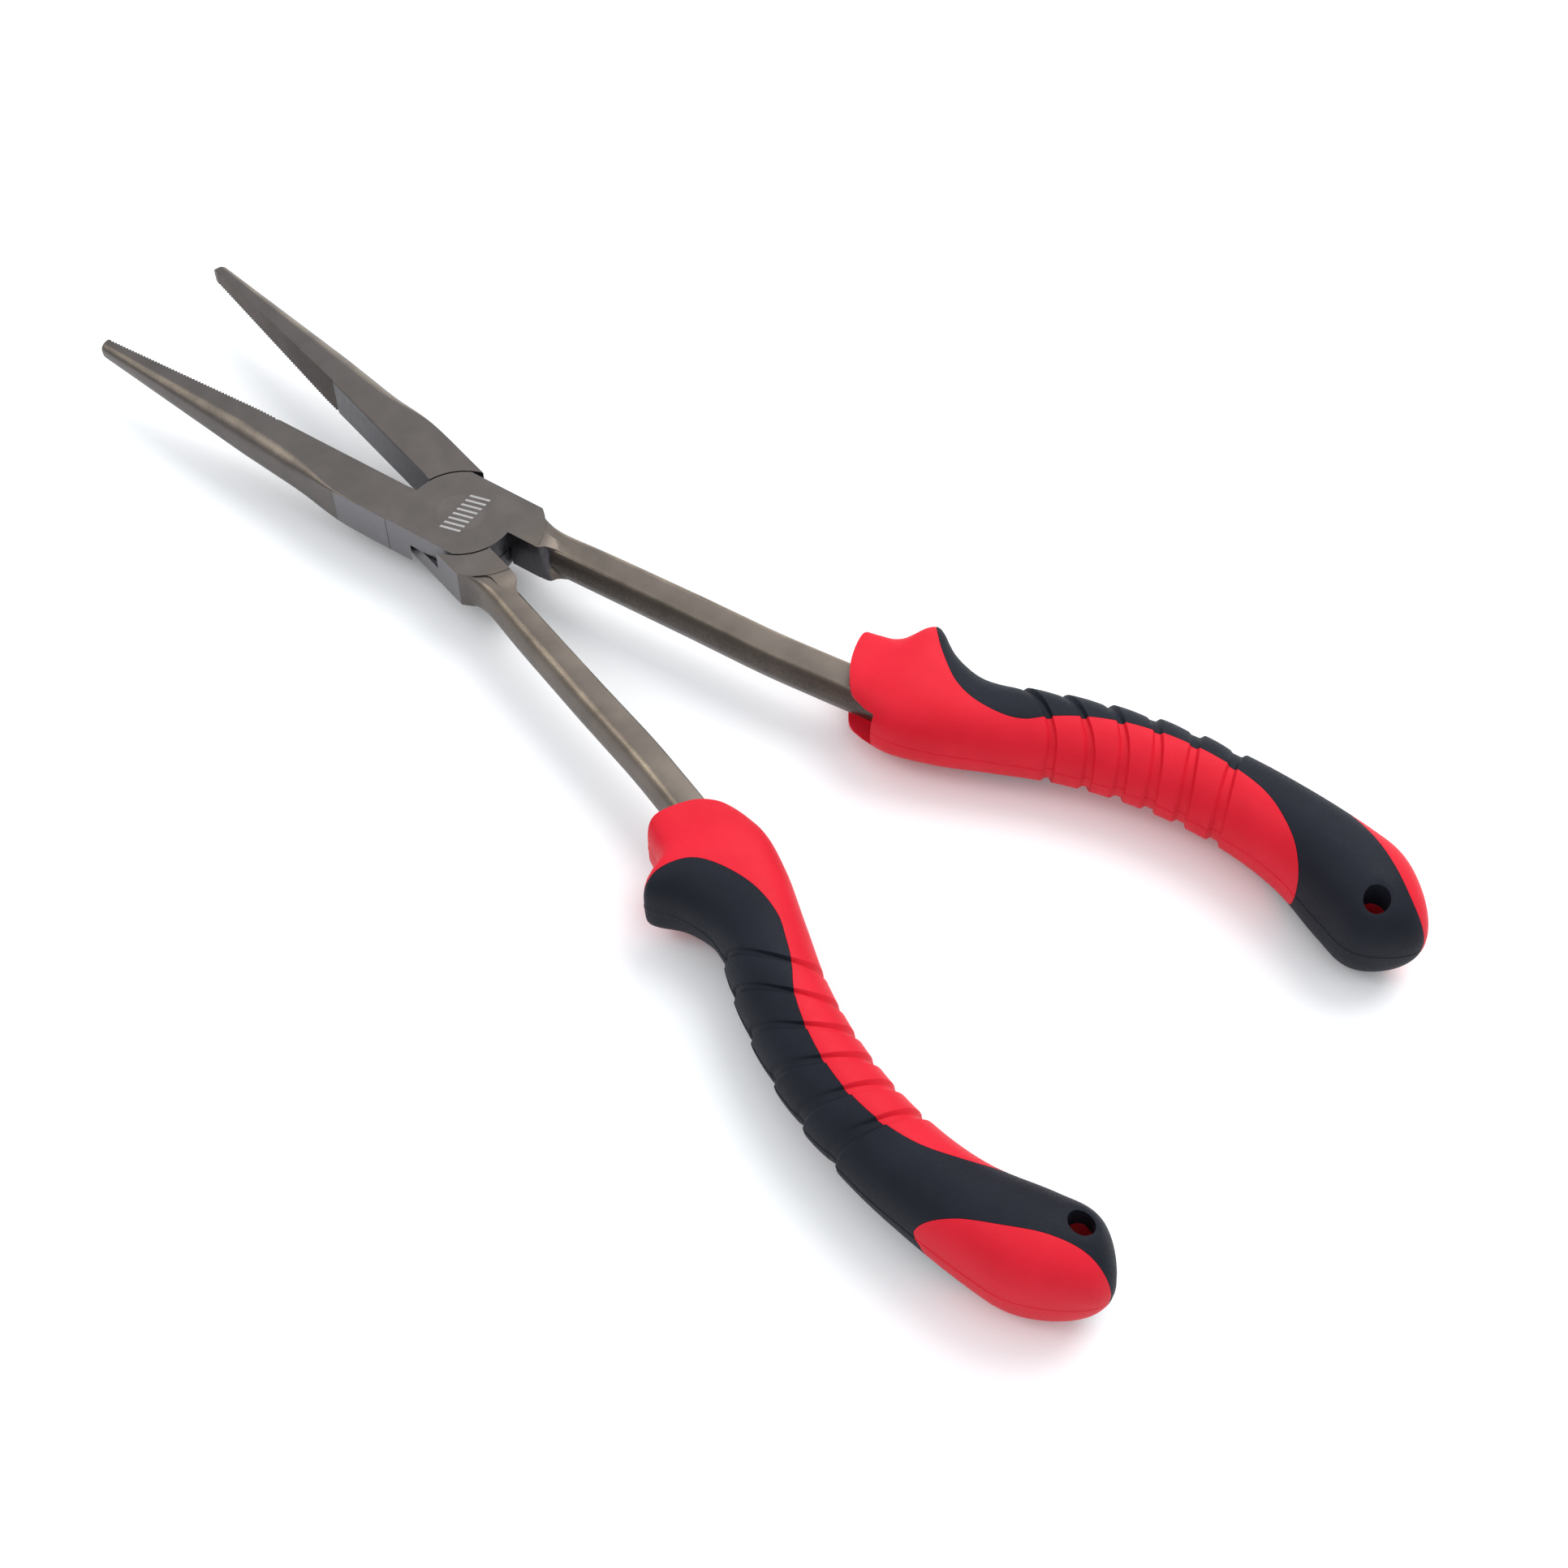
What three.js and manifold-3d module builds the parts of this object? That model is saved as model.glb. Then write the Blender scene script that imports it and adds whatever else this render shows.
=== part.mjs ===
// Long-nose fishing pliers: two crossed forged halves turning on one flush rivet, each handle
// carrying a red grip core with a black overmould.
// Millimetres, +Z up along the pivot axis. The origin is on the pivot axis at the underside of the
// flat joint; +X points to the handles and -X to the jaw tips.
import * as THREE from 'three';
import { mergeVertices } from 'three/addons/utils/BufferGeometryUtils.js';
import Module from 'manifold-3d';

const wasm = await Module();
wasm.setup();

// ---- Driving dimensions ----------------------------------------------------------------------
const fitGap = 0.3;                 // clearance between two pieces that touch
const halfOpening = 8.7;            // degrees that each half is turned away from closed

const jointHalf = 4.3;              // half the thickness of the flat joint
const discRadius = 10.35;           // round of the lap joint
const jawBack = 9.05;               // back of the jaw at its root, from the closing line
const headBack = 9.3;               // back of the handle root
const headInner = 0.9;              // inner face of the handle root
const headEnd = 19.4;               // where the flat head ends towards the handle

const jawTip = 89.3;                // pivot to jaw tip
const tipHalf = 1.8;                // half the thickness of the tip
const tipWidth = 2.6;
const taperStart = 49;              // the jaw thins from here to its tip

const rivetRadius = 3.6;
const rivetHeadRadius = 4.6;
const rivetHeadDepth = 1.2;

const barHalf = 4;                  // half the thickness of the handle bar
const barRound = 3.6;               // round edges on the back of the bar
const barEnd = 164;                 // end of the bar inside the grip

const gripFront = 78.4;
const notchEnd = 90;                // the slot in the inner side of the grip's mouth ends here
const gripEnd = 190.9;
const skin = 2;                     // thickness of the black overmould
const lanyardX = 181.1;
const lanyardY = 11.9;
const lanyardRadius = 2.25;

const metal = { color: 0x6e665f, roughness: 0.42, metalness: 1 };
const rivetMetal = { color: 0x756d66, roughness: 0.38, metalness: 1 };
const redPlastic = { color: 0xe0222f, roughness: 0.55, metalness: 0 };
const blackRubber = { color: 0x24272c, roughness: 0.7, metalness: 0 };

const steps = (from, to, count) => Array.from(
  { length: count + 1 }, (_, i) => from + (to - from) * i / count);

// ---- Solids ----------------------------------------------------------------------------------
function solid(geometry) {
  const bare = geometry.index ? geometry.toNonIndexed() : geometry.clone();
  bare.deleteAttribute('normal');
  bare.deleteAttribute('uv');
  const merged = mergeVertices(bare, 1e-4);
  return new wasm.Manifold(new wasm.Mesh({
    numProp: 3,
    vertProperties: new Float32Array(merged.attributes.position.array),
    triVerts: new Uint32Array(merged.index.array),
  }));
}

function geometryOf(manifold) {
  const mesh = manifold.getMesh();
  const geometry = new THREE.BufferGeometry();
  geometry.setAttribute('position', new THREE.Float32BufferAttribute(mesh.vertProperties, 3));
  geometry.setIndex(new THREE.BufferAttribute(mesh.triVerts, 1));
  const flat = geometry.toNonIndexed();
  flat.computeVertexNormals();
  return flat;
}

// A closed skin over rings of points, each ring a closed loop with the same number of points.
function loft(rings) {
  const positions = rings.flat().flatMap((p) => [p.x, p.y, p.z]);
  const count = rings[0].length;
  const index = [];
  for (let r = 0; r + 1 < rings.length; r += 1) {
    for (let i = 0; i < count; i += 1) {
      const a = r * count + i;
      const b = r * count + (i + 1) % count;
      index.push(a, b, b + count, a, b + count, a + count);
    }
  }
  for (let i = 1; i + 1 < count; i += 1) {
    const last = (rings.length - 1) * count;
    index.push(0, i + 1, i, last, last + i, last + i + 1);
  }
  const geometry = new THREE.BufferGeometry();
  geometry.setAttribute('position', new THREE.Float32BufferAttribute(positions, 3));
  geometry.setIndex(index);
  return solid(geometry);
}

// A plan outline made into a plate between two heights.
function plate(shape, bottom, top, curveSegments = 24) {
  const depth = top - bottom;
  const geometry = new THREE.ExtrudeGeometry(shape, { depth, bevelEnabled: false, curveSegments });
  geometry.translate(0, 0, bottom);
  return solid(geometry);
}

function disc(radius, bottom, top, x = 0, y = 0, segments = 64) {
  const geometry = new THREE.CylinderGeometry(radius, radius, top - bottom, segments);
  geometry.rotateX(Math.PI / 2);
  geometry.translate(x, y, (top + bottom) / 2);
  return solid(geometry);
}

// A smooth curve through a few [x, value] points, read at any x.
function profile(points) {
  const places = points.map(([x, v]) => new THREE.Vector3(x, v, 0));
  const samples = new THREE.CatmullRomCurve3(places, false, 'centripetal').getPoints(points.length * 24);
  return (x) => {
    const next = samples.findIndex((p) => p.x >= x);
    if (next <= 0) return (next === 0 ? samples[0] : samples[samples.length - 1]).y;
    const a = samples[next - 1];
    const b = samples[next];
    return a.y + (b.y - a.y) * (x - a.x) / (b.x - a.x);
  };
}

// ---- One forged half, drawn closed: jaw on the -Y side, handle on the +Y side -------------------
const jawOuter = profile([[-jawTip, tipWidth], [-63.4, 5.4], [-42, 7.5], [-31.7, 8.4], [-22.5, jawBack],
  [0, jawBack]]);
const jawHalf = (x) => (x > -taperStart ? jointHalf
  : jointHalf + (tipHalf - jointHalf) * (-taperStart - x) / (jawTip - taperStart));
const jawRound = profile([[-jawTip, 1.1], [-70, 2.3], [-48, 3], [-34, 2.2], [-27, 0.9], [-22.5, 0.3],
  [0, 0.3]]);

const barOuter = profile([[14, 7.5], [20, 7.9], [28, 8.5], [48, 9.6], [70, 10.5], [100, 14], [125, 21.4],
  [150, 25], [barEnd, 23.5]]);
const barInner = profile([[14, 1.8], [20, 2.3], [28, 2.8], [48, 3.8], [70, 4.6], [100, 8], [125, 16],
  [150, 20], [barEnd, 19]]);

// Section of a bar: sharp edges on the inner side, round edges on the back.
function barSection(x, inner, back, half, round, arcSteps) {
  const side = Math.sign(back - inner);
  const corner = (centreZ, from, to) => steps(from, to, arcSteps).map((angle) => new THREE.Vector3(
    x, back - side * round * (1 - Math.cos(angle)), centreZ + round * Math.sin(angle)));
  const ring = [
    new THREE.Vector3(x, inner, -half),
    ...corner(-half + round, -Math.PI / 2, 0),
    ...corner(half - round, 0, Math.PI / 2),
    new THREE.Vector3(x, inner, half),
  ];
  return side > 0 ? ring : ring.reverse();
}

function jaw() {
  const stations = [...steps(-jawTip, -jawTip + 1.2, 2), ...steps(-84, -14, 10), -7];
  return loft(stations.map((x) => barSection(x, -fitGap / 2, -jawOuter(x), jawHalf(x), jawRound(x), 4)));
}

function head() {
  const shape = new THREE.Shape();
  const flatStart = -Math.sqrt(discRadius ** 2 - headBack ** 2);
  const roundStart = Math.sqrt(discRadius ** 2 - jawBack ** 2);
  shape.moveTo(-12, -fitGap / 2);
  shape.lineTo(-12, -jawBack);
  shape.lineTo(roundStart, -jawBack);
  shape.absarc(0, 0, discRadius, -Math.atan2(jawBack, roundStart), Math.asin(headInner / discRadius), false);
  shape.lineTo(headEnd - 0.8, headInner);
  shape.quadraticCurveTo(headEnd - 0.2, headInner, headEnd, headInner + 1.4);
  shape.lineTo(headEnd, 7.4);
  shape.quadraticCurveTo(15.5, 7, 11.6, headBack);
  shape.lineTo(flatStart, headBack);
  const faceStart = Math.PI + Math.asin(fitGap / 2 / discRadius);
  shape.absarc(0, 0, discRadius, Math.atan2(headBack, flatStart), faceStart, false);
  return plate(shape, -jointHalf, jointHalf);
}

function bar(grow = 0, from = 17) {
  const stations = [from, ...steps(24, barEnd + grow, 16)];
  return loft(stations.map((x) => barSection(
    x, barInner(x) - grow, barOuter(x) + grow, barHalf + grow, barRound + grow, 3)));
}

function rivetSolid(grow = 0) {
  const half = jointHalf + grow;
  const outline = [
    [0, -half], [rivetHeadRadius + grow, -half], [rivetRadius + grow, -jointHalf + rivetHeadDepth],
    [rivetRadius + grow, jointHalf - rivetHeadDepth], [rivetHeadRadius + grow, half], [0, half],
  ];
  const geometry = new THREE.LatheGeometry(outline.map(([r, z]) => new THREE.Vector2(r, z)), 48);
  geometry.rotateX(Math.PI / 2);
  return solid(geometry);
}

function forgedHalf() {
  const otherDisc = disc(discRadius + fitGap, -jointHalf - 1, fitGap / 2, 0, 0, 96);
  return jaw().add(head()).add(bar()).subtract(otherDisc).subtract(rivetSolid(fitGap));
}

// ---- Grip, drawn on the closed half ------------------------------------------------------------
const gripOuter = profile([[gripFront, 16.8], [82, 17.8], [84.7, 18.8], [86.4, 20], [87.4, 21.8],
  [88.4, 24], [89.8, 25.1], [91.4, 24.5], [93, 23.4], [95.6, 21.9], [101.4, 20.5], [105.5, 21.2],
  [110.4, 23.7], [122.7, 28.1], [137, 30.9], [151.3, 31.3], [163.6, 30.1], [173.8, 28], [181, 25.9],
  [gripEnd, 22.6]]);
const gripInner = profile([[gripFront, 3.6], [84, 2.1], [92, 1], [100.2, 2.9], [110.4, 7], [122.7, 11.85],
  [137, 14.9], [151.3, 15.3], [163.6, 13.3], [173.8, 8.7], [181, 6.6], [gripEnd, 8.8]]);
const gripHalf = profile([[gripFront, 7.1], [84, 7.2], [86, 7.6], [88, 8.1], [91, 8.3], [97, 8.1], [104, 8],
  [125, 8.1], [150, 8.4], [165, 9.5], [179, 10.7], [gripEnd, 10.6]]);
// How square the section is, on the back and on the inner side: 2 is an ellipse.
const gripSquare = profile([[gripFront, 4.6], [85, 4.2], [90, 3.8], [95, 2.9], [104, 2.2], [150, 2],
  [175, 2.3], [gripEnd, 2.4]]);
const gripInnerSquare = profile([[gripFront, 2.8], [90, 2.7], [104, 2.2], [150, 2], [175, 2.3],
  [gripEnd, 2.4]]);
const endRound = 13.4;              // length over which the end of the grip rounds off
const stopEnd = 104;                // the thumb stop is over by here

// Ring of the grip at x, drawn in by inset; the end closes as a quarter of an ellipse.
function gripRing(x, inset, sides) {
  const lastX = gripEnd - inset;
  const over = Math.max(0, (x - (lastX - endRound)) / endRound);
  const close = Math.sqrt(Math.max(0, 1 - Math.min(1, over) ** 2.2));
  const centre = (gripOuter(x) + gripInner(x)) / 2;
  const width = Math.max(0.4, (gripOuter(x) - gripInner(x)) / 2 - inset) * Math.max(close, 0.06);
  const half = (gripHalf(x) - inset) * Math.max(close, 0.06);
  return Array.from({ length: sides }, (_, i) => {
    const angle = 2 * Math.PI * (i + 0.5) / sides;
    const c = Math.cos(angle);
    const s = Math.sin(angle);
    const power = 2 / (c > 0 ? gripSquare(x) : gripInnerSquare(x));
    return new THREE.Vector3(x, centre + width * Math.sign(c) * Math.abs(c) ** power,
      half * Math.sign(s) * Math.abs(s) ** power);
  });
}

function gripBody(inset, front = gripFront) {
  const lastX = gripEnd - inset;
  const straight = [...steps(front, stopEnd, 12), ...steps(stopEnd, lastX - endRound, 18).slice(1)];
  const rounded = steps(0, 1, 7).slice(1).map((t) => lastX - endRound + endRound * Math.sin(t * Math.PI / 2));
  return loft([...straight, ...rounded].map((x) => gripRing(x, inset, 24)));
}

// Plan of the black overmould: over the back from the thumb stop to the ribs, then across to the
// inner side and round the end, leaving a red teardrop on the back of the end. Its front edge runs
// further back on the top face than underneath.
const topFront = [[88.6, 30], [89.4, 24.8], [91.7, 21.4], [94.8, 17.9], [99.6, 13.9], [104.4, 12.2],
  [109.8, 12.6]];
const underFront = [[89.8, 30], [89.4, 24.8], [89.2, 21.3], [91.1, 16.3], [94.9, 13.5], [101.8, 11.5],
  [108.8, 11.9]];
const acrossRibs = [[117, 15.8], [122, 19.3], [128, 21.9], [134.5, 23.6], [141, 24.3], [148.6, 23.8],
  [155.4, 22], [160.5, 19.1], [165.6, 14.8], [169.2, 9.2], [170, -4]];
const teardrop = [[196, 13.2], [190.4, 13.4], [185.6, 14.4], [180, 17.4], [173.8, 21.8], [167.8, 26],
  [162.5, 31], [160, 36]];

function overmouldOutline(front, grow) {
  const curve = (points) => new THREE.CatmullRomCurve3(
    points.map(([x, y]) => new THREE.Vector3(x, y, 0)), false, 'centripetal').getPoints(points.length * 2);
  const shifted = (points) => points.map((p, i) => {
    const a = points[Math.max(0, i - 1)];
    const b = points[Math.min(points.length - 1, i + 1)];
    const along = new THREE.Vector2(b.x - a.x, b.y - a.y).normalize();
    return new THREE.Vector2(p.x + along.y * grow, p.y - along.x * grow);
  });
  return new THREE.Shape([...shifted(curve([...front, ...acrossRibs])), new THREE.Vector2(196, -4),
    ...shifted(curve(teardrop)), new THREE.Vector2(160, 40), new THREE.Vector2(86, 40)]);
}

function overmouldRegion(grow = 0) {
  const top = plate(overmouldOutline(topFront, grow), 0, 14);
  return top.add(plate(overmouldOutline(underFront, grow), -14, 0));
}

// What is cut off in front of the grip's slanted, round-cornered mouth.
function mouthCut() {
  const shape = new THREE.Shape();
  shape.moveTo(gripFront - 6, -6);
  shape.lineTo(notchEnd, -6);
  shape.lineTo(notchEnd, 1.8);
  shape.quadraticCurveTo(gripFront + 8.2, 2.2, gripFront + 6.3, 3.4);
  shape.quadraticCurveTo(gripFront + 3.8, 5.8, gripFront + 1.3, 12.9);
  shape.quadraticCurveTo(gripFront + 0.8, 15.6, gripFront + 1.9, 20);
  shape.lineTo(gripFront - 6, 20);
  return plate(shape, -14, 14);
}

const lanyardHole = () => disc(lanyardRadius, -14, 14, lanyardX, lanyardY, 24);

function overmould() {
  return gripBody(0).subtract(gripBody(skin)).intersect(overmouldRegion()).subtract(lanyardHole());
}

function gripCore() {
  const room = gripBody(-1, gripFront - 1).subtract(gripBody(skin + fitGap))
    .intersect(overmouldRegion(fitGap));
  const notch = new THREE.BoxGeometry(notchEnd - gripFront + 2, 9, 2 * barHalf + 1);
  notch.translate((notchEnd + gripFront - 2) / 2, 1.2, 0);
  return gripBody(0).subtract(room).subtract(bar(fitGap, gripFront - 8)).subtract(solid(notch))
    .subtract(mouthCut()).subtract(lanyardHole());
}

// ---- Assembly ----------------------------------------------------------------------------------
function piece(name, manifold, finish) {
  const mesh = new THREE.Mesh(geometryOf(manifold), new THREE.MeshStandardMaterial(finish));
  mesh.name = name;
  return mesh;
}

function half(prefix) {
  const group = new THREE.Group();
  group.add(piece(`${prefix}_half`, forgedHalf(), metal));
  group.add(piece(`${prefix}_grip_core`, gripCore(), redPlastic));
  group.add(piece(`${prefix}_grip_overmould`, overmould(), blackRubber));
  return group;
}

const pliers = new THREE.Group();
pliers.position.z = jointHalf;

const upper = half('upper');
upper.rotation.z = THREE.MathUtils.degToRad(halfOpening);

const turnedOver = half('lower');
turnedOver.rotation.x = Math.PI;
const lower = new THREE.Group();
lower.rotation.z = -THREE.MathUtils.degToRad(halfOpening);
lower.add(turnedOver);
lower.add(piece('pivot_rivet', rivetSolid(), rivetMetal));

pliers.add(upper, lower);
pliers.updateMatrixWorld(true);

export default pliers;
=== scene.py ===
"""Long-nose fishing pliers: two crossed forged halves on one flush rivet, each handle carrying a
red grip core with a ribbed black overmould.

Every shape is drawn in millimetres on a closed half, with the pivot at the origin, the jaw on the
-Y side and the handle on the +Y side, and is then turned into its place in the frame."""

import math

import bmesh
import bpy
import numpy as np
from mathutils import Matrix, Vector


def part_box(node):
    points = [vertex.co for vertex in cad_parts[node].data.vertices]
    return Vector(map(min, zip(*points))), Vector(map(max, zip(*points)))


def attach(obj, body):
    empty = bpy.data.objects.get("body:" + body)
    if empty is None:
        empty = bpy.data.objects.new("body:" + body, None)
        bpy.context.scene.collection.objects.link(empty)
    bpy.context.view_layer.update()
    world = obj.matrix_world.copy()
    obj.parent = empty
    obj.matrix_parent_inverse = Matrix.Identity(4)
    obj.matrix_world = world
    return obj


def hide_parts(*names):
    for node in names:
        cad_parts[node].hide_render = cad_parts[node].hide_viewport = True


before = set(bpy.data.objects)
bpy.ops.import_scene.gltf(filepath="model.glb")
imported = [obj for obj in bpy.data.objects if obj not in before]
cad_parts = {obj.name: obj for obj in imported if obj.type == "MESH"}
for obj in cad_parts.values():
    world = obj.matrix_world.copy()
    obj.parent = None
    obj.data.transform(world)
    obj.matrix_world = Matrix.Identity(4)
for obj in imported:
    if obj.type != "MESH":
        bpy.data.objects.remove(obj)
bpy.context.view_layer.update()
PIVOT = sum(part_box("pivot_rivet"), Vector()) / 2

MM = 0.001

# ---- Driving dimensions, in millimetres ---------------------------------------------------------
HALF_OPENING = 8.7                 # degrees that each half is turned away from closed
FIT_GAP = 0.3                      # clearance between the jaws and in the lap joint
HAIRLINE = 0.06                    # gap that shows as a fine line between two moulded pieces

JOINT_HALF = 4.3                   # half the thickness of the flat joint
DISC_RADIUS = 10.35
JAW_BACK = 9.05
HEAD_BACK = 9.3
HEAD_INNER = 0.9
SHOULDER = 12.1                    # the ground back of the head ends here
ROOT_END = 18.8                    # the thick root of the handle ends here
ROOT_LEAN = 1.7                    # its inner wall ends this much earlier at the top face
ROOT_LAG = 0.8                     # and this much later at the bottom face
GROUND_CENTRE = (5.2, -0.4)        # the ground flat of the head ends on an arc about this point
GROUND_RADIUS = 11.9
RUNOUT = 5.0                       # width of the hollow runout beyond it
EDGE_BREAK = 0.12                  # the ground edges are broken this much

JAW_TIP = 89.3
TIP_HALF = 1.8
TIP_LENGTH = 0.9                   # the blunt tip is rounded over this length
TIP_ROUND = 0.45                   # and is drawn in this much at its end
TAPER_START = 49.0
TOOTH_PITCH = 0.77
TOOTH_DEPTH = 0.34
TEETH_END = 44.0                   # the serration runs from the tip to here

RIVET_RADIUS = 3.6
RIVET_HEAD_RADIUS = 4.6
RIVET_HEAD_DEPTH = 1.2

BAR_HALF = 4.0
BAR_FALL = 0.5                     # the top of the bar falls this much towards its inner edge
BAR_ROUND_HEIGHT = 3.8             # the back of the bar is half an upright ellipse
BAR_CROWN = 0.9                    # the inner wall leans out this far to its mid-plane ridge
BAR_END = 164.0

GRIP_FRONT = 78.4
GRIP_END = 190.5
END_ROUND = 13.4
NOTCH_END = 90.0
SKIN = 2.0
LANYARD = (181.1, 11.9)
LANYARD_RADIUS = 2.25
SLEEVE = 1.1                       # wall of the overmould's sleeve in the lanyard hole
SLEEVE_END = 4.6                   # the two sleeves reach in to this height
GROOVE_DEPTH = 0.75
RIB_FALL = 0.55                    # share of that depth by which a rib falls on the back
UPPER_RIB_SHIFT = 1.6              # the ribs of the upper grip reach its back this much further on
GROOVE_WIDTH = 2.1                 # of a rib groove where it crosses the red and black boundary
FIRST_RIB = 9                      # the first rib starts this far before the first groove
RIM_ROLL = 0.35                    # the rim of the lanyard hole rolls in this deep
RIM_WIDTH = 0.8                    # and over this width
PARTING_RISE = 0.12                # height of the parting line along the grip's mid-plane

PAST_GRIP = 14                     # cutters reach this far above and below the mid-plane
MERGE = 0.002                      # points closer together than this become one

# ---- The photograph's camera, fitted to the object's outlines -----------------------------------
SENSOR = 36                        # millimetres
LENS = 56.295                      # millimetres
CAMERA_PLACE = (0.25371, -0.19015, 0.34949)        # metres
CAMERA_TILT = 36.074               # degrees up from straight down
CAMERA_TURN = 42.156               # degrees about the upright


# ---- Curves --------------------------------------------------------------------------------------
def smooth_curve(points, per_span=24):
    """Centripetal Catmull-Rom curve through 2-D points."""
    p = np.array(points, float)
    p = np.vstack([2 * p[0] - p[1], p, 2 * p[-1] - p[-2]])
    t = np.linspace(0, 1, per_span, endpoint=False)[:, None]
    spans = []
    for a, b, c, d in zip(p, p[1:], p[2:], p[3:]):
        ab, bc, cd = (math.sqrt(np.linalg.norm(q - r)) for q, r in ((b, a), (c, b), (d, c)))
        leave = ((b - a) / ab - (c - a) / (ab + bc) + (c - b) / bc) * bc
        reach = ((c - b) / bc - (d - b) / (bc + cd) + (d - c) / cd) * bc
        spans.append((2 * t**3 - 3 * t**2 + 1) * b + (t**3 - 2 * t**2 + t) * leave
                     + (3 * t**2 - 2 * t**3) * c + (t**3 - t**2) * reach)
    return np.vstack([*spans, p[-2]])


def profile(points):
    """A smooth curve through (x, value) points, read at any x."""
    curve = smooth_curve(points)
    return lambda x: np.interp(x, curve[:, 0], curve[:, 1])


def smoothstep(t):
    t = np.clip(t, 0, 1)
    return t * t * (3 - 2 * t)


def arc(radius, start, end, count, centre=(0, 0)):
    angles = np.linspace(start, end, count)
    return [(centre[0] + radius * math.cos(a), centre[1] + radius * math.sin(a)) for a in angles]


def circle(radius, centre, sides=48):
    return arc(radius, 0, 2 * math.pi * (sides - 1) / sides, sides, centre)


jaw_outer = profile([(-JAW_TIP, 2.7), (-63.4, 5.6), (-42, 7.7), (-31.7, 8.4), (-22.5, JAW_BACK),
                     (0, JAW_BACK)])
jaw_round = profile([(-JAW_TIP, 1.3), (-70, 2.6), (-48, 3.3), (-35, 2.7), (-27, 1.0), (-22.5, 0.3), (0, 0.3)])
bar_outer = profile([(11, HEAD_BACK - 0.1), (SHOULDER, HEAD_BACK - 0.15), (13.2, 8.3), (14.8, 7.75),
                     (20, 7.9), (28, 8.5), (48, 9.5), (70, 10.4), (100, 14), (125, 21.4), (150, 25),
                     (BAR_END, 23.5)])
bar_inner = profile([(11, 2.2), (20, 2.5), (28, 2.7), (48, 3.35), (70, 4.05), (100, 7.6), (125, 16),
                     (150, 20), (BAR_END, 19)])
bar_round = profile([(11, 0.2), (SHOULDER, 0.25), (14.5, 0.6), (16.5, 1.3), (18.5, 1.8), (24, 2.0),
                     (BAR_END, 2.0)])
grip_outer = profile([(GRIP_FRONT, 16.8), (82, 17.8), (84.5, 18.6), (86.2, 19.9), (87.3, 21.8), (88.4, 24.1),
                      (89.7, 25.2), (91.3, 24.6), (93, 23.4), (95.6, 21.9), (101.4, 20.5), (105.5, 21.2),
                      (110.4, 23.7), (122.7, 28.1), (137, 30.9), (151.3, 31.2), (163.6, 29.8),
                      (173.8, 27.9), (181, 25.9), (GRIP_END, 21.2)])
grip_inner = profile([(GRIP_FRONT, 3.6), (84, 2.1), (92, 1), (100.2, 2.9), (110.4, 7.0), (122.7, 11.85),
                      (137, 14.9), (151.3, 15.3), (163.6, 13.3), (173.8, 8.8), (181, 6.2), (GRIP_END, 7.3)])
grip_half = profile([(GRIP_FRONT, 7.1), (84.5, 7.2), (86.2, 7.55), (88, 8.05), (90.5, 8.35), (97, 8.25),
                     (104, 8.2), (125, 8.3), (150, 8.6), (165, 9.7), (179, 11.0), (GRIP_END, 11.0)])
grip_square = profile([(GRIP_FRONT, 4.6), (85, 4.2), (90, 3.8), (95, 2.9), (104, 2.2), (150, 2.0),
                       (175, 2.3), (GRIP_END, 2.4)])
grip_inner_square = profile([(GRIP_FRONT, 2.8), (90, 2.7), (104, 2.2), (150, 2.0), (175, 2.3),
                             (GRIP_END, 2.4)])

# Each rib groove crosses the grip through a point on its back, one on the red and black boundary,
# and one on its inner side.
GROOVES = [
    ((106.3, 22.0), (117.2, 15.8), (120.1, 11.8)),
    ((113.4, 24.4), (122.1, 19.3), (126.8, 13.3)),
    ((121.1, 27.0), (128.0, 21.9), (132.4, 14.8)),
    ((129.3, 29.0), (134.3, 23.7), (138.0, 15.8)),
    ((137.5, 30.4), (141.1, 24.3), (144.1, 15.8)),
    ((145.6, 30.9), (148.6, 23.8), (150.8, 15.3)),
]


# ---- Meshes --------------------------------------------------------------------------------------
def mesh_object(name, points, faces):
    mesh = bpy.data.meshes.new(name)
    mesh.from_pydata([tuple(p) for p in points], [], faces)
    made = bpy.data.objects.new(name, mesh)
    bpy.context.scene.collection.objects.link(made)
    fix = bmesh.new()
    fix.from_mesh(mesh)
    bmesh.ops.recalc_face_normals(fix, faces=fix.faces)
    fix.to_mesh(mesh)
    fix.free()
    return made


def loft(name, rings):
    """A closed skin over rings of points, each ring a loop with the same number of points."""
    rings = np.asarray(rings, float)
    count, sides = rings.shape[:2]
    faces = []
    for r in range(0, (count - 1) * sides, sides):
        for i in range(sides):
            after = (i + 1) % sides
            faces.append((r + i, r + after, r + sides + after, r + sides + i))
    faces += [tuple(range(sides)), tuple(range((count - 1) * sides, count * sides))]
    return mesh_object(name, rings.reshape(-1, 3), faces)


def plate(name, outline, bottom, top):
    """A plan outline made into a plate between two heights."""
    return loft(name, [[(x, y, z) for x, y in outline] for z in (bottom, top)])


def lathe(name, outline, segments=96, centre=(0, 0)):
    """A closed solid of revolution about an upright axis, from (radius, height) points."""
    angles = np.linspace(0, 2 * math.pi, segments, endpoint=False)
    return loft(name, [[(centre[0] + r * math.cos(a), centre[1] + r * math.sin(a), z) for a in angles]
                       for r, z in outline])


def cut(solid, other, operation="DIFFERENCE"):
    """solid joined with, cut by or kept inside other, which is used up."""
    step = solid.modifiers.new("cut", "BOOLEAN")
    step.operation = operation
    step.solver = "MANIFOLD"
    step.object = other
    bake_modifiers(solid)
    bpy.data.objects.remove(other)
    return solid


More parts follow.
